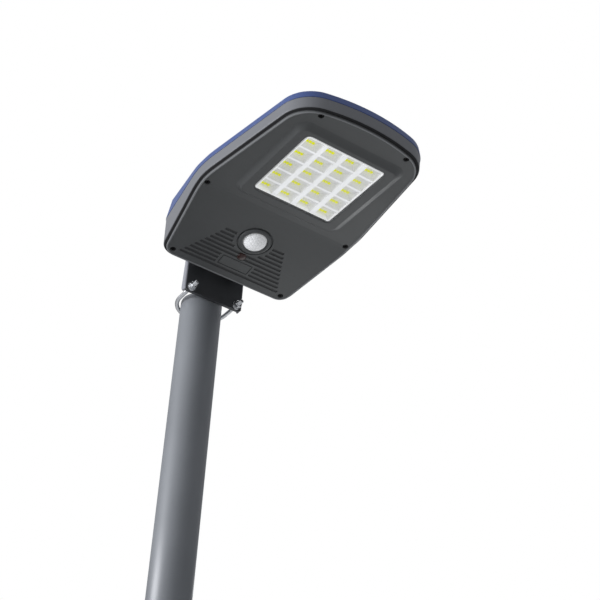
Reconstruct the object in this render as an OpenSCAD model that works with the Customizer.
// All-in-one solar street lamp head on a pole-top tube section.
// Millimetres, +Z up. Origin: pole axis at the lower cut end of the tube.
// The lamp head reaches out towards -Y; +X is the lamp's left-hand side seen from the pole.
// "Front" is the -Y tip of the lamp, "rear" is its pole side.

/* [Pole] */
// Outside diameter of the pole tube
pole_d = 60; // [60:0.5:62]
// Wall thickness of the pole tube
pole_wall = 2.5; // [2:0.5:4]
// Length of the pole-top tube section
pole_len = 484; // [300:2:900]

/* [Lamp head outline] */
// Reach of the front tip of the outline in front of the pole axis
tip_y = 418.3; // [414:0.5:424]
// Half width of the underside at the front corners
front_w = 97.2; // [94:0.2:100]
// Half width of the underside at the widest place
mid_w = 124; // [122:0.5:128]
// Half width of the underside at the rear
rear_w = 100.6; // [98:0.2:104]
// Radius of the front corners
front_r = 45.8; // [40:0.2:50]
// Radius of the rear corners
rear_r = 18; // [12:1:20]

/* [Lamp head heights] */
// Height of the flat top above the LED face
top_z = 26.8; // [24:0.2:28]
// Rise of the rear top slope per millimetre
top_slope = 0.185; // [0.15:0.005:0.2]
// Fall of the rear underside slope per millimetre
low_slope = 0.197; // [0.19:0.001:0.2]
// Wall thickness of the shells
wall = 3; // [2.8:0.1:3.2]

/* [LED window] */
// Pitch of the LED columns
led_dx = 31.39; // [31:0.01:31.6]
// Pitch of the LED rows
led_dy = 26.47; // [26.2:0.01:26.6]
// Width of the window opening
win_w = 125.6; // [125:0.2:127]
// Length of the window opening
win_l = 132; // [131:0.2:133]

/* [Pole bracket] */
// Width of the bracket plate
plate_w = 97; // [92:1:98]
// Thickness of the bracket plate
plate_t = 4.9; // [4:0.1:4.9]
// Spacing of the U-bolt legs
ubolt_c = 75.4; // [75:0.2:78]
// Diameter of the U-bolt rod
ubolt_d = 6; // [5:0.5:6]

/* [Show] */
// Part to show

/* [Hidden] */
$fn = 48;

// colours shared by several nodes
steel = [0.75, 0.76, 0.78];
zinc = [0.8, 0.8, 0.82];
rubber = [0.03, 0.03, 0.03];
black_plastic = [0.12, 0.12, 0.13];

led_z = pole_len + 50;       // height of the LED face; lamp parts are built relative to it
face_z = -6.3;               // flat front part of the underside
part_z = 14.8;               // seam between housing and top cover
bend_y = -197.1;             // where the underside starts to slope down
low_deg = atan(low_slope);
win_y = -295;                // centre of the window
wall_grow = 4.5;             // shell's outer face outside the underside outline
cover_t = 3;                 // thickness of the lower cover
far_front = -450;            // section lines start and end clear of the lamp
far_rear = -30;

// ---------------- outline ----------------
rear_y = -59.6;
corner_y = -395.3;           // the front corners before rounding
mid_y = bend_y - 0.8;        // the widest place
tip_turn = atan((tip_y + corner_y) / front_w);
side_turn = atan((mid_w - front_w) / (mid_y - corner_y));
// the tip arc ends 1 mm short of the front corner arcs
tip_r = (norm([front_w, tip_y + corner_y])
    - front_r * tan((90 - tip_turn - side_turn) / 2) - 1) / tan(tip_turn);

// outline polygon before rounding, then the radius and arc steps of each corner
corner_points = [[-front_w, corner_y], [0, -tip_y], [front_w, corner_y],
    [mid_w, mid_y], [rear_w, rear_y], [0, rear_y]];
corner_radii = [0, tip_r, front_r, 184, rear_r, 0];
corner_steps = [0, 12, 9, 4, 6, 0];

function unit(v) = v / norm(v);
function heading(v) = atan2(v[1], v[0]);
function facing_away(v, from) = v * from > 0 ? -v : v;
function short_turn(turn) = turn > 180 ? turn - 360 : (turn < -180 ? turn + 360 : turn);

// arc points of corner k, with the outline grown outwards
function corner(k, grow) =
    let (here = corner_points[k],
         back = unit(corner_points[k - 1] - here),
         ahead = unit(corner_points[k + 1] - here),
         half_angle = acos(back * ahead) / 2,
         inward = unit(back + ahead),
         centre = here + inward * (corner_radii[k] / sin(half_angle)),
         radius = corner_radii[k] + grow,
         start = heading(facing_away([-back[1], back[0]], inward)),
         finish = heading(facing_away([ahead[1], -ahead[0]], inward)),
         turn = short_turn(finish - start),
         steps = corner_steps[k])
    [for (i = [0:steps])
        let (a = start + turn * i / steps) centre + radius * [cos(a), sin(a)]];

// +X half, front to rear
function half_outline(grow) =
    let (tip = corner(1, grow))
    concat([for (i = [corner_steps[1] / 2:corner_steps[1]]) tip[i]],
        corner(2, grow), corner(3, grow), corner(4, grow));
// closed ring: +X half front to rear, then -X half rear to front
function outline(grow) =
    let (half = half_outline(grow))
    concat(half, [for (i = [len(half) - 1:-1:1]) [-half[i][0], half[i][1]]]);

ring_n = len(outline(0));
// index of the middle point of the widest corner
mid_i = corner_steps[1] / 2 + 1 + corner_steps[2] + 1 + corner_steps[3] / 2;
function at_mid(i) = i == mid_i || i == ring_n - mid_i;

// walls flare towards the seam: outwards at the sides and front, none at the rear
flare = 0.8;
function flared(i, grow) =
    let (plain = outline(grow)[i], wide = outline(grow + flare)[i])
    [wide[0], min(plain[1], wide[1])];

// outline on which the top's crease and heights are taken
top_grow = 4;
crease_y = outline(top_grow)[mid_i][1];

// ---------------- heights and section lines ----------------
function under_z(y) = y < bend_y ? face_z : face_z - low_slope * (y - bend_y);
function upper_z(y) = y < crease_y ? top_z : top_z + top_slope * (y - crease_y);

// [y, z] section lines, raised by lift
function under_line(lift) = [[far_front, face_z + lift], [bend_y, face_z + lift],
    [far_rear, under_z(far_rear) + lift]];
function upper_line(lift) = [[far_front, top_z + lift], [crease_y, top_z + lift],
    [far_rear, upper_z(far_rear) + lift]];

module plan(grow) polygon(outline(grow));
module prism(grow, z0 = -60, z1 = 80)
    translate([0, 0, z0]) linear_extrude(z1 - z0) plan(grow);
// space between two section lines, extruded across the lamp
module profile(lower, upper)
    rotate([90, 0, 90]) translate([0, 0, -200]) linear_extrude(400)
        polygon(concat(lower, [for (i = [len(upper) - 1:-1:0]) upper[i]]));

// ---------------- frames and small shapes ----------------
module head() translate([0, 0, led_z]) children();
// frame on the sloping underside at depth y, local z up into the lamp
module on_slope(y) translate([0, y, under_z(y)]) rotate([-low_deg, 0, 0]) children();
module along_y() rotate([90, 0, 0]) children();       // local z -> -Y
module along_x() rotate([0, 90, 0]) children();       // local z -> +X
module at_window(z) translate([0, win_y, z]) children();

function spots(xs, ys) = [for (x = xs, y = ys) [x, y]];
module at(places) for (p = places) translate([p[0], p[1], 0]) children();
// low x of a block standing on one side (1 or -1) of the centre plane
function side_x(side, inner, width) = side > 0 ? inner : -inner - width;

module round_slab(w, l, r, h) {
    translate([0, 0, h / 2]) cube([w - 2 * r, l, h], center = true);
    translate([0, 0, h / 2]) cube([w, l - 2 * r, h], center = true);
    for (x = [-1, 1], y = [-1, 1])
        translate([x * (w / 2 - r), y * (l / 2 - r), 0]) cylinder(r = r, h = h);
}
module hex_prism(flats, h) cylinder(d = flats / cos(30), h = h, $fn = 6);
module washer(outer, bore, h) difference() {
    cylinder(r = outer, h = h);
    translate([0, 0, -1]) cylinder(r = bore, h = 4);
}
module socket_head(r, h, socket_z, flats, socket_h) difference() {
    cylinder(r = r, h = h);
    translate([0, 0, socket_z]) hex_prism(flats, socket_h);
}
module rod(from, to, r) {
    run = to - from;
    length = norm(run);
    translate(from) rotate([0, acos(run[2] / length), heading(run)])
        cylinder(r = r, h = length, $fn = 24);
}
module cable(points, r) {
    for (i = [0:len(points) - 2]) rod(points[i], points[i + 1], r);
    for (i = [1:len(points) - 2]) translate(points[i]) sphere(r = r * 1.08, $fn = 24);
}

// ---------------- fixing places ----------------
cover_screw_places = [
    for (p = [[67.8, -396.3], [114.6, bend_y], [90.8, -69.4]], side = [1, -1])
        [side * p[0], p[1]]];
module at_cover_screws()
    for (p = cover_screw_places) translate([p[0], p[1], under_z(p[1])]) children();
led_posts = spots([-71, 71], [for (row = [-1:1]) win_y + row * 66]);
board_posts = spots([-56, 56], [-198, -172]);
tray_posts = spots([-83, 83], [-140, -92]);
sensor_posts = spots([-11, 11], [-17, 37]);   // in the slope frame at pir_y

// ---------------- pole ----------------
pole_r = pole_d / 2;
bore_r = pole_r - pole_wall;
module pole_tube() color([0.42, 0.43, 0.45]) difference() {
    cylinder(r = pole_r, h = pole_len, $fn = 96);
    translate([0, 0, -1]) cylinder(r = bore_r, h = pole_len + 2, $fn = 96);
    // seat for the cap
    translate([0, 0, pole_len - 16]) cylinder(r = bore_r + 0.3, h = 17, $fn = 96);
}
module pole_cap() color([0.1, 0.1, 0.11]) translate([0, 0, pole_len]) difference() {
    union() {
        cylinder(r = pole_r - 0.4, h = 2, $fn = 96);
        translate([0, 0, -14]) cylinder(r = bore_r + 0.2, h = 14.5, $fn = 96);
    }
    translate([0, 0, -15]) cylinder(r = bore_r - 2.6, h = 14.5, $fn = 96);
}

// ---------------- pole bracket and clamp ----------------
slip = 0.05;                 // clearance round the pole
plate_back = -(pole_r + slip);
plate_front = plate_back - plate_t;
plate_bot = -60.6;
plate_top = 14;
plate_r = 6.5;               // lower corners
flange_t = 4;
ear_x = 28;                  // inner face of the tilt ears
ear_t = 5;
ear_r = 8;
pivot_y = plate_front - 7.65;
pivot_z = -2;
ubolt_z = -54.2;
ubolt_r = ubolt_c / 2;
ubolt_cy = pole_r + slip + ubolt_d / 2 - ubolt_r;    // centre of the bow
washer_t = 1.6;
spring_t = 1.8;

module at_ubolt_legs(y)
    for (side = [-1, 1]) translate([side * ubolt_r, y, ubolt_z]) along_y() children();
module at_pivot(x) translate([x, pivot_y, pivot_z]) along_x() children();

module plate_shape() {
    translate([-plate_w / 2, plate_bot + plate_r])
        square([plate_w, plate_top - plate_bot - plate_r]);
    translate([-plate_w / 2 + plate_r, plate_bot]) square([plate_w - 2 * plate_r, 8]);
    for (side = [-1, 1])
        translate([side * (plate_w / 2 - plate_r), plate_bot + plate_r]) circle(r = plate_r);
}
module pole_bracket() color([0.09, 0.1, 0.11]) head() difference() {
    union() {
        translate([0, plate_back, 0]) along_y() linear_extrude(plate_t) plate_shape();
        // side flanges turned back beside the pole, deepest at the bottom
        for (side = [-1, 1])
            translate([side_x(side, plate_w / 2 - flange_t, flange_t), 0, 0])
                rotate([90, 0, 90]) linear_extrude(flange_t) polygon([
                    [plate_front + 0.5, plate_bot + 2],
                    [plate_front + 9.6, plate_bot + 2],
                    [plate_front + plate_t + 0.5, plate_top],
                    [plate_front + 0.5, plate_top]]);
        // tilt ears turned forward
        for (side = [-1, 1]) translate([side_x(side, ear_x, ear_t), 0, 0]) {
            at_pivot(0) cylinder(r = ear_r, h = ear_t);
            translate([0, pivot_y, pivot_z - ear_r])
                cube([ear_t, plate_front - pivot_y + 0.5, 2 * ear_r]);
        }
    }
    at_ubolt_legs(plate_back + 1) cylinder(r = ubolt_d / 2 + 0.4, h = plate_t + 2);
    at_pivot(-50) cylinder(r = 3.3, h = 100);
}
module u_bolt() color(steel) head() {
    translate([0, ubolt_cy, ubolt_z]) rotate_extrude(angle = 180, $fn = 96)
        translate([ubolt_r, 0]) circle(d = ubolt_d, $fn = 32);
    at_ubolt_legs(ubolt_cy) cylinder(d = ubolt_d, h = ubolt_cy - plate_front + 17);
}
module u_bolt_washers() color(zinc) head()
    at_ubolt_legs(plate_front) washer(6.25, ubolt_d / 2 + 0.2, washer_t);
module u_bolt_spring_washers() color([0.7, 0.7, 0.72]) head()
    at_ubolt_legs(plate_front - washer_t) difference() {
        washer(5.1, ubolt_d / 2 + 0.1, spring_t);
        rotate(40) translate([0, -0.6, -1]) cube([8, 1.2, 4]);
    }
module u_bolt_nuts() color([0.82, 0.82, 0.84]) head()
    at_ubolt_legs(plate_front - washer_t - spring_t) difference() {
        hex_prism(10, 5.2);
        translate([0, 0, -1]) cylinder(r = ubolt_d / 2 + 0.02, h = 8);
    }

ear_face = ear_x + ear_t;
clamp_x = ear_face + washer_t;   // bolt head and nut bear here
module pivot_bolt() color(steel) head() {
    at_pivot(-42) cylinder(r = 3, h = 42 + clamp_x + 0.2);
    at_pivot(clamp_x) hex_prism(10, 4.2);
}
module pivot_washers() color(zinc) head()
    for (x = [ear_face, -clamp_x]) at_pivot(x) washer(6.25, 3.2, washer_t);
// hexagon with a round collar at its outer end
module pivot_nut() color(zinc) head() at_pivot(-clamp_x - 6) difference() {
    union() {
        translate([0, 0, 2]) hex_prism(10, 4);
        cylinder(r = 4.4, h = 2.2);
    }
    translate([0, 0, -1]) cylinder(r = 3.02, h = 8);
}

// ---------------- hinge block on the rear wall ----------------
rear_face = rear_y + wall_grow;
hinge_t = 4;
knuckle_x = 15;
knuckle_w = ear_x - 0.1 - knuckle_x;
knuckle_r = 7.2;
module at_hinge_screws(y)
    for (x = [-34, 34], z = [-15, 7]) translate([x, y, z]) along_y() children();

module hinge_block() color([0.25, 0.26, 0.27]) head() difference() {
    union() {
        translate([-41, rear_face, -20]) cube([82, hinge_t, 32]);
        for (side = [-1, 1]) translate([side_x(side, knuckle_x, knuckle_w), 0, 0]) {
            at_pivot(0) cylinder(r = knuckle_r, h = knuckle_w);
            translate([0, rear_face + 1, pivot_z - knuckle_r])
                cube([knuckle_w, pivot_y - rear_face - 1, 2 * knuckle_r]);
        }
    }
    at_pivot(-50) cylinder(r = 3.05, h = 100);
    at_hinge_screws(rear_face + hinge_t + 1) cylinder(r = 2.52, h = hinge_t + 2);
}
// heads inside the housing wall
module hinge_screws() color(steel) head() {
    at_hinge_screws(rear_face + hinge_t - 0.3)
        cylinder(r = 2.5, h = hinge_t - 0.3 + wall + 1);
    at_hinge_screws(rear_face - wall) socket_head(4.6, 3.2, 1.4, 4, 3);
}

// ---------------- lower cover ----------------
pan_front = -369.1;
pan_rear = -215.3;
pan_y = (pan_front + pan_rear) / 2;
pan_z = -11.3;
pir_y = -139.4;
ir_y = -105.5;
groove_y = -139.7;           // frontmost groove
groove_pitch = 7.36;
groove_w = 4;
// inner end of each groove, front to rear; -0.5 joins the two sides at the centre
groove_inner = [29.5, 29.5, 27, 19.5, -0.5, -0.5, 27.6, 27.6, 27.6, -0.5];

// pan standing down round the window, sides sloping outwards going up
module pan(inset, z0, z1) hull() {
    translate([0, pan_y, z0])
        round_slab(152.6 - 2 * inset, pan_rear - pan_front - 2 * inset, 11, 0.1, $fn = 24);
    translate([0, pan_y - 2.5, z1])
        round_slab(167 - 2 * inset, 170 - 2 * inset, 15, 0.1, $fn = 24);
}
// blind grooves across the rear slope, longer towards the rear
module grooves()
    for (k = [0:9], side = [-1, 1]) {
        inner = groove_inner[k];
        length = 48.7 + 3.72 * k - inner;
        on_slope(groove_y + groove_pitch * k)
            translate([side_x(side, inner, length), -groove_w / 2, -1.5])
                cube([length, groove_w, 2.7]);
    }
module label_frame() on_slope(groove_y + groove_pitch * 7) difference() {
    translate([-24.6, -9.2, -0.5]) cube([49.2, 18.4, 1.1]);
    translate([-23.1, -7.7, -1]) cube([46.2, 15.4, 2]);
}
// hole and stepped seat for the dome and its bezel
module pir_seat() on_slope(pir_y) translate([0, 0, -2]) {
    cylinder(r = 15.2, h = 8);
    cylinder(r = 25, h = 2.8);
    difference() {
        cylinder(r = 25.6, h = 3.7);
        translate([0, 0, -1]) cylinder(r = 23.9, h = 6);
    }
}
module ir_seat() on_slope(ir_y) translate([0, 0, -2]) {
    cylinder(r = 5.2, h = 8);
    cylinder(r = 6.7, h = 3);
}
module bottom_cover() color([0.28, 0.29, 0.29]) head() difference() {
    union() {
        difference() {
            union() {
                intersection() {
                    prism(0);
                    profile(under_line(0), under_line(cover_t));
                }
                // thin bead along the edge
                intersection() {
                    difference() {
                        prism(0);
                        prism(-1.3);
                    }
                    profile(under_line(-0.6), under_line(0.5));
                }
                pan(0, pan_z, face_z);
            }
            pan(2.6, pan_z + 2.5, face_z + 6);
        }
        // pads at the screws
        at_cover_screws() translate([0, 0, 1]) cylinder(r = 5.1, h = 4);
        // posts for the LED module
        at(led_posts) translate([0, 0, -9]) cylinder(r = 3.2, h = 9.8);
        // posts for the sensor board
        on_slope(pir_y) at(sensor_posts) translate([0, 0, 1]) cylinder(r = 2.4, h = 5);
    }
    at_window(-12) round_slab(win_w, win_l, 8, 6);
    at_cover_screws() {
        translate([0, 0, -3]) cylinder(r = 4.1, h = 5.4);
        cylinder(r = 2.25, h = 8);
    }
    grooves();
    label_frame();
    pir_seat();
    ir_seat();
    on_slope(pir_y) at(sensor_posts) translate([0, 0, 2]) cylinder(r = 1.02, h = 6);
    at(led_posts) translate([0, 0, -8]) cylinder(r = 1.52, h = 12);
}
module cover_screws() color([0.05, 0.05, 0.05]) head() at_cover_screws() {
    translate([0, 0, 0.4]) socket_head(3.9, 2, -1, 2.5, 2.2);
    translate([0, 0, 2]) cylinder(r = 2, h = 14);
}
module cover_gasket() color(rubber) head() difference() {
    union() {
        // seat on the cover's rim
        intersection() {
            difference() {
                prism(0.2);
                prism(-2.6);
            }
            profile(under_line(cover_t), under_line(cover_t + 1.45));
        }
        // thinner lip out under the wall
        intersection() {
            difference() {
                prism(wall_grow - chamfer);
                prism(0);
            }
            profile(under_line(cover_t + 0.7), under_line(cover_t + 1.45));
        }
    }
    at_cover_screws() translate([0, 0, -2]) cylinder(r = 5.3, h = 12);
}

// ---------------- housing ----------------
edge_z = 4.5;                // height of the lower edge above the underside
chamfer = 0.9;               // of the lower edge
skirt_grow = 5;              // top cover at the seam
draft = 0.155;               // inward lean of the top cover per millimetre of height

// ring that follows the bent underside, raised by lift
function edge_ring(grow, lift) = [for (i = [0:ring_n - 1])
    let (p = outline(grow)[i], y = at_mid(i) ? bend_y : p[1]) [p[0], y, under_z(y) + lift]];
// ring on the flared walls at one height
function level_ring(grow, z) =
    [for (i = [0:ring_n - 1]) let (p = flared(i, grow)) [p[0], p[1], z]];
// triangles between stacked rings k and k + 1
function band(k) = [for (i = [0:ring_n - 1], upper = [false, true])
    let (j = (i + 1) % ring_n, low = k * ring_n, high = low + ring_n)
    upper ? [low + j, high + i, high + j] : [low + i, high + i, low + j]];

module shell_outer() polyhedron(
    points = concat(
        edge_ring(wall_grow - chamfer, edge_z),
        edge_ring(wall_grow, edge_z + chamfer),
        level_ring(wall_grow, part_z)),
    faces = concat(
        [[for (i = [0:mid_i]) i, for (i = [ring_n - mid_i:ring_n - 1]) i]],
        [[for (i = [mid_i:ring_n - mid_i]) i]],
        band(0),
        band(1),
        [[for (i = [ring_n - 1:-1:0]) 2 * ring_n + i]]),
    convexity = 4);
module housing() color([0.42, 0.43, 0.44]) head() difference() {
    union() {
        difference() {
            shell_outer();
            prism(wall_grow - wall, -60, 60);
        }
        // inner ledge the cover seals against
        difference() {
            intersection() {
                prism(wall_grow - wall + 0.5);
                profile(under_line(cover_t + 1.5), under_line(cover_t + 4));
            }
            prism(-3);
        }
    }
    at_cover_screws() translate([0, 0, -2]) cylinder(r = 5.5, h = 14);
    // groove for the seam seal
    translate([0, 0, part_z - 1.5]) linear_extrude(5) difference() {
        plan(wall_grow - 0.8);
        plan(wall_grow - 2.2);
    }
    at_hinge_screws(rear_face + 1) cylinder(r = 2.8, h = 6);
}
module body_seal() color(rubber) head()
    translate([0, 0, part_z - 1.5]) linear_extrude(1.5) difference() {
        plan(wall_grow - 0.85);
        plan(wall_grow - 2.15);
    }

// ---------------- top cover ----------------
function top_point(i, inset) =
    let (z = upper_z(outline(top_grow)[i][1]),
         p = flared(i, skirt_grow - inset - draft * (z - part_z)),
         y = at_mid(i) ? crease_y : p[1])
    [p[0], y, upper_z(y)];
// drafted solid from the seam to the creased top; an inset form starts 1 mm lower
module top_form(inset = 0) polyhedron(
    points = concat(
        level_ring(skirt_grow - inset, part_z - (inset > 0 ? 1 : 0)),
        [for (i = [0:ring_n - 1]) top_point(i, inset)]),
    faces = concat(
        [[for (i = [0:ring_n - 1]) i]],
        band(0),
        [[for (i = [mid_i:-1:0]) ring_n + i,
          for (i = [ring_n - 1:-1:ring_n - mid_i]) ring_n + i]],
        [[for (i = [ring_n - mid_i:-1:mid_i]) ring_n + i]]),
    convexity = 4);

panel_grow = -11;            // glass outline, inside the underside outline
panel_rear = crease_y - 9;   // rear edge of the glass
recess_z = top_z - 5.4;      // floor of the panel recess
deck_z = recess_z - 2.4;     // underside of the flat deck
board_z = 6;                 // underside of the controller board
board_t = 1.6;

module panel_plan(grow) intersection() {
    plan(panel_grow + grow);
    translate([-150, far_front]) square([300, panel_rear + grow - far_front]);
}
module lead_hole() translate([-30, -222, recess_z - 5]) cylinder(r = 3.4, h = 10);
// hollow under the flat deck and under the rear slope
module top_hollow() intersection() {
    top_form(skirt_grow - wall_grow + wall);
    profile([[far_front, part_z - 1], [far_rear, part_z - 1]],
        [[far_front, deck_z], [crease_y + 4, deck_z],
         [crease_y + 4.01, upper_z(crease_y + 4) - 3.4],
         [far_rear, upper_z(far_rear) - 3.4]]);
}
module top_cover() color([0.10, 0.17, 0.36]) head() difference() {
    union() {
        difference() {
            top_form();
            top_hollow();
        }
        // screw posts down to the lower cover
        for (p = cover_screw_places) {
            foot = under_z(p[1]) + 5;
            post_top = p[1] < -190 ? recess_z - 2 : upper_z(p[1]) - 3;
            translate([p[0], p[1], foot]) cylinder(r = 4.5, h = post_top - foot);
        }
        // posts for the battery tray
        for (p = tray_posts)
            translate([p[0], p[1], 12]) cylinder(r = 4, h = upper_z(p[1]) - 3 - 12);
        // posts for the controller board
        for (p = board_posts) {
            foot = board_z + board_t;
            post_top = upper_z(p[1]) - 7 + (p[1] > crease_y ? 4.5 : 1);
            translate([p[0], p[1], foot]) cylinder(r = 3, h = post_top - foot);
        }
        // shallow ribs on the rear slope
        for (x = [-60:30:60]) intersection() {
            translate([x - 4, -176, 0]) cube([8, 96, 80]);
            profile(upper_line(-1), upper_line(0.8));
        }
    }
    translate([0, 0, recess_z]) linear_extrude(40) panel_plan(1.2);
    at_cover_screws() translate([0, 0, 4]) cylinder(r = 2.02, h = 13.5);
    at(tray_posts) translate([0, 0, 11]) cylinder(r = 1.52, h = 9);
    at(board_posts) translate([0, 0, 7]) cylinder(r = 1.27, h = 6);
    lead_hole();
}

// ---------------- solar panel ----------------
sheet_z = recess_z + 0.8;
cells_z = recess_z + 1.4;
glass_z = recess_z + 1.8;
solar_pitch = [38.5, 33];
solar_size = [35.5, 31];
module panel_slice(z0, z1) translate([0, 0, z0]) linear_extrude(z1 - z0) panel_plan(0);

module solar_backsheet() color([0.92, 0.92, 0.92]) head() difference() {
    panel_slice(sheet_z, cells_z);
    lead_hole();
}
module solar_cells() color([0.03, 0.04, 0.10]) head() for (i = [0:3], j = [0:4])
    translate([(i - 1.5) * solar_pitch[0] - solar_size[0] / 2,
               -379 + j * solar_pitch[1], cells_z])
        cube([solar_size[0], solar_size[1], 0.4]);
module solar_glass() color([0.05, 0.07, 0.14, 0.5]) head() panel_slice(glass_z, top_z - 0.4);
// edge strip and a flat border under the backsheet
module panel_seal() color([0.02, 0.02, 0.02]) head() translate([0, 0, recess_z]) {
    linear_extrude(top_z - recess_z) difference() {
        panel_plan(1.15);
        panel_plan(0.05);
    }
    linear_extrude(0.8) difference() {
        panel_plan(0.1);
        panel_plan(-6);
    }
}
module panel_junction() color([0.05, 0.05, 0.05]) head()
    translate([-42, -228, recess_z - 9]) difference() {
        cube([24, 12, 6.5]);
        translate([12, 6, -1]) cylinder(r = 2.2, h = 9);
    }

// ---------------- LED window ----------------
led_y = -288.8;              // centre of the LED field
lens_w = win_w - 0.6;
lens_l = win_l - 0.6;
gasket_z = -8.8;
gasket_t = 0.6;
refl_z = -9.4;               // lower face of the reflector
led_board_z = 0.8;
sink_z = led_board_z + 1.6;
sink_t = 2.6;
chip = 3.5;
module flange_slab(h) round_slab(win_w + 7, win_l + 7, 9, h);
module module_slab(h) round_slab(win_w + 23, win_l + 8, 4, h);

module window_lens() color([0.95, 0.97, 1, 0.35]) head() difference() {
    union() {
        at_window(-11) round_slab(lens_w, lens_l, 7.7, 4.4);
        at_window(gasket_z + gasket_t) flange_slab(1.6);
    }
    at_window(-9.5) round_slab(lens_w - 3, lens_l - 3, 6.2, 6);
}
module lens_gasket() color(rubber) head() at_window(gasket_z) difference() {
    flange_slab(gasket_t);
    translate([0, 0, -1]) round_slab(win_w, win_l, 8, 3);
}
// four long troughs, widening downwards
module troughs()
    for (i = [-1.5:1.5]) translate([i * led_dx, 0, 0])
        along_y() translate([0, 0, 200]) linear_extrude(200) polygon([
            [-7.2, 1],
            [7.2, 1],
            [led_dx / 2 - 3.55, refl_z - 0.1],
            [3.55 - led_dx / 2, refl_z - 0.1]]);
// spaces between thin cross ridges; the chips sit off centre in them
module cross_spaces()
    for (j = [-2:2]) translate([-100, led_y + j * led_dy, 0])
        rotate([90, 0, 90]) linear_extrude(200) polygon([
            [-2.4, 1],
            [2.4, 1],
            [led_dy / 2 - 8.7, refl_z - 0.1],
            [-led_dy / 2 - 5.9, refl_z - 0.1]]);
module reflector() color([0.94, 0.95, 0.95]) head() difference() {
    union() {
        at_window(refl_z) round_slab(lens_w - 3.6, lens_l - 3.6, 5.9, led_board_z - refl_z);
        at_window(-6.5) flange_slab(7.3);
    }
    intersection() {
        troughs();
        cross_spaces();
        translate([-100, win_y - lens_l / 2 + 3.6, -20]) cube([200, lens_l - 7.2, 40]);
    }
}
module led_board() color([0.9, 0.9, 0.88]) head() difference() {
    at_window(led_board_z) module_slab(sink_z - led_board_z);
    at(led_posts) cylinder(r = 1.8, h = 4);
}
// three chips at each LED place
module led_chips() color([0.95, 0.9, 0.1]) head()
    for (i = [-1.5:1.5], j = [-2:2], k = [-1:1])
        translate([i * led_dx + k * 4.65 - chip / 2, led_y + j * led_dy - chip / 2, 0])
            cube([chip, chip, led_board_z]);
module heat_sink() color([0.7, 0.71, 0.72]) head() difference() {
    union() {
        at_window(sink_z) module_slab(sink_t);
        for (k = [-7:7]) translate([k * 8.4 - 0.8, win_y - 62, 4.5]) cube([1.6, 124, 8.5]);
    }
    at(led_posts) cylinder(r = 1.8, h = 8);
}
module led_screws() color(steel) head() at(led_posts) {
    translate([0, 0, -6]) cylinder(r = 1.5, h = 11.5);
    translate([0, 0, sink_z + sink_t]) socket_head(2.8, 2, 0.8, 2, 2);
}

// ---------------- controller ----------------
module controller_board() color([0.05, 0.3, 0.12]) head() difference() {
    translate([-62, -203, board_z]) cube([124, 36, board_t]);
    at(board_posts) translate([0, 0, 4]) cylinder(r = 1.6, h = 6);
}
// box hanging from the board's underside
module hung_box(x, y, size) translate([x, y, board_z - size[2]]) cube(size);
module controller_parts() color(black_plastic) head() {
    for (x = [-38, -26]) translate([x, -190, board_z - 6.5]) cylinder(r = 4, h = 6.5);
    hung_box(-16, -196, [14, 14, 5.5]);
    hung_box(4, -194, [9, 9, 3]);
    hung_box(20, -198, [7, 8, 4.5]);
    for (x = [-48, 30, 40]) hung_box(x, -179, [7, 6, 5.5]);
    for (x = [0:6:18]) hung_box(x, -178, [3, 2, 1.4]);
}
module board_screws() color(steel) head() at(board_posts) {
    translate([0, 0, board_z - 1.8]) cylinder(r = 2.5, h = 1.8);
    translate([0, 0, 5.5]) cylinder(r = 1.25, h = 6.5);
}

// ---------------- battery ----------------
cell_r = 16.1;
cell_l = 70;
cell_z = 11.2;
cell_rows = [-133, -99];
row_gap = cell_rows[1] - cell_rows[0];
// two cells end to end across the lamp in each row
module cell_set(grow, inner, length) for (side = [-1, 1], y = cell_rows)
    translate([side_x(side, inner, length), y, cell_z])
        along_x() cylinder(r = cell_r + grow, h = length);

module battery_cells() color([0.1, 0.35, 0.6]) head() cell_set(0, 1, cell_l);
module battery_strips() color([0.8, 0.8, 0.78]) head() for (side = [-1, 1])
    translate([side_x(side, cell_l + 1, 0.3), cell_rows[0] - 6, cell_z - 5])
        cube([0.3, row_gap + 12, 10]);
module battery_tray() color(black_plastic) head() difference() {
    union() {
        translate([-75, -151, -4]) cube([150, 70, 14]);
        // fixing lugs
        at(tray_posts) translate([0, 0, 9]) cylinder(r = 5, h = 3);
        for (side = [-1, 1], y = [-140, -92])
            translate([side_x(side, 73, 10), y - 5, 9]) cube([10, 10, 3]);
    }
    cell_set(0.1, 0.9, cell_l + 0.6);
    // slots for the strips, then shallow pockets underneath
    for (side = [-1, 1]) {
        translate([side_x(side, 70.7, 1), cell_rows[0] - 7, cell_z - 6])
            cube([1, row_gap + 14, 14]);
        translate([side * 36 - 26, -151.5, -5]) cube([52, 71, 4.6]);
    }
    at(tray_posts) translate([0, 0, 5]) cylinder(r = 1.8, h = 10);
}
module tray_screws() color(steel) head() at(tray_posts) {
    translate([0, 0, 6.8]) cylinder(r = 2.9, h = 2.2);
    translate([0, 0, 8]) cylinder(r = 1.5, h = 11);
}
// upright board with its parts on the rear face
module bms_board() color([0.06, 0.25, 0.1]) head() {
    translate([-35, -81, -3]) cube([70, 1.6, 20]);
    for (x = [-26, -12, 2]) translate([x, -79.5, 2]) cube([6, 1.6, 9]);
    translate([24, -79.5, 0]) cube([7, 4, 7]);
}

// ---------------- motion sensor and remote receiver ----------------
dome_z = 7.9;                // centre of the dome sphere
module pir_dome() color([0.93, 0.93, 0.92]) head() on_slope(pir_y) difference() {
    union() {
        intersection() {
            translate([0, 0, dome_z]) sphere(r = 18.8, $fn = 64);
            translate([0, 0, -20]) cylinder(r = 20, h = 20);
        }
        translate([0, 0, -0.2]) cylinder(r = 17, h = 1);
    }
    intersection() {
        translate([0, 0, dome_z]) sphere(r = 17.7, $fn = 64);
        translate([0, 0, -20]) cylinder(r = 20, h = 22);
    }
}
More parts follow.
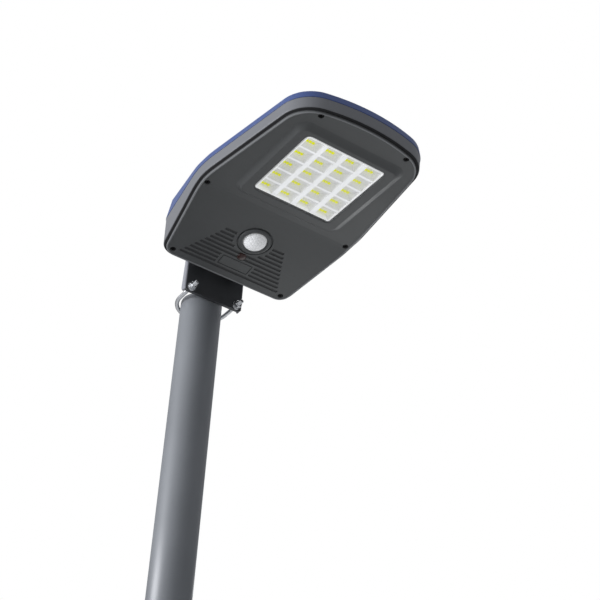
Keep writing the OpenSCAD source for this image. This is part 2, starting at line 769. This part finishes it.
// [radius, z] section
module pir_bezel() color([0.2, 0.21, 0.21]) head() on_slope(pir_y) rotate_extrude($fn = 96)
    polygon([[17.1, -1.2], [18.3, -2.6], [21.5, -2.6],
        [23.7, -0.8], [23.7, 0.75], [17.1, 0.75]]);
module pir_sensor() color([0.7, 0.7, 0.68]) head() on_slope(pir_y) {
    translate([0, 0, 1.6]) cylinder(r = 4.6, h = 4.4);
    translate([-2, -1.5, 1.4]) cube([4, 3, 0.3]);
}
module sensor_board() color([0.05, 0.28, 0.12]) head() on_slope(pir_y) difference() {
    translate([-14, -20, 6]) cube([28, 62, 1.6]);
    at(sensor_posts) translate([0, 0, 4]) cylinder(r = 1.3, h = 6);
}
module sensor_screws() color(steel) head() on_slope(pir_y) at(sensor_posts) {
    translate([0, 0, 7.6]) cylinder(r = 2, h = 1.4);
    translate([0, 0, 3]) cylinder(r = 1, h = 5);
}
module ir_window() color([0.16, 0.03, 0.02]) head() on_slope(ir_y) difference() {
    union() {
        translate([0, 0, -0.6]) cylinder(r = 6.6, h = 1.5);
        translate([0, 0, 0.5]) cylinder(r = 5.1, h = 2.5);
        intersection() {
            translate([0, 0, 8.2]) sphere(r = 11, $fn = 64);
            translate([0, 0, -3]) cylinder(r = 6.6, h = 3);
        }
    }
    translate([0, 0, 1]) cylinder(r = 2.4, h = 4);
}
module ir_receiver() color([0.08, 0.08, 0.08]) head() on_slope(ir_y) union() {
    translate([-2.8, -2.2, 3.2]) cube([5.6, 4.4, 2.8]);
    translate([0, 0, 3.2]) intersection() {
        sphere(r = 1.8, $fn = 32);
        translate([0, 0, -4]) cylinder(r = 3, h = 4.2);
    }
}

// ---------------- leads ----------------
module panel_lead() color([0.6, 0.05, 0.05]) head()
    cable([[-30, -222, recess_z + 0.4], [-30.4, -221.4, 8.6], [-37, -201, 3.7]], 1.6);
module battery_lead() color([0.7, 0.06, 0.05]) head()
    cable([[48, -176, 2.4], [80, -166, 1], [80, -71, 2],
        [33, -71, 3.5], [29.4, -73.8, 3.5]], 1.5);
module led_lead() color([0.85, 0.85, 0.85]) head()
    cable([[20, win_y + win_l / 2 + 6, 1.6], [20, -211, 1.6], [22, -199.5, 4.4]], 1.3);
module sensor_lead() color([0.1, 0.1, 0.1]) head()
    cable([[10, -161.5, -5.5], [14, -164, -1], [13, -172, 3.2]], 1.1);

pole_tube();
pole_cap();
pole_bracket();
u_bolt();
u_bolt_washers();
u_bolt_spring_washers();
u_bolt_nuts();
pivot_bolt();
pivot_washers();
pivot_nut();
hinge_block();
hinge_screws();
bottom_cover();
cover_screws();
cover_gasket();
housing();
body_seal();
top_cover();
solar_glass();
solar_cells();
solar_backsheet();
panel_seal();
panel_junction();
window_lens();
lens_gasket();
reflector();
led_board();
led_chips();
heat_sink();
led_screws();
controller_board();
controller_parts();
board_screws();
battery_cells();
battery_strips();
battery_tray();
tray_screws();
bms_board();
pir_dome();
pir_bezel();
pir_sensor();
sensor_board();
sensor_screws();
ir_window();
ir_receiver();
panel_lead();
battery_lead();
led_lead();
sensor_lead();
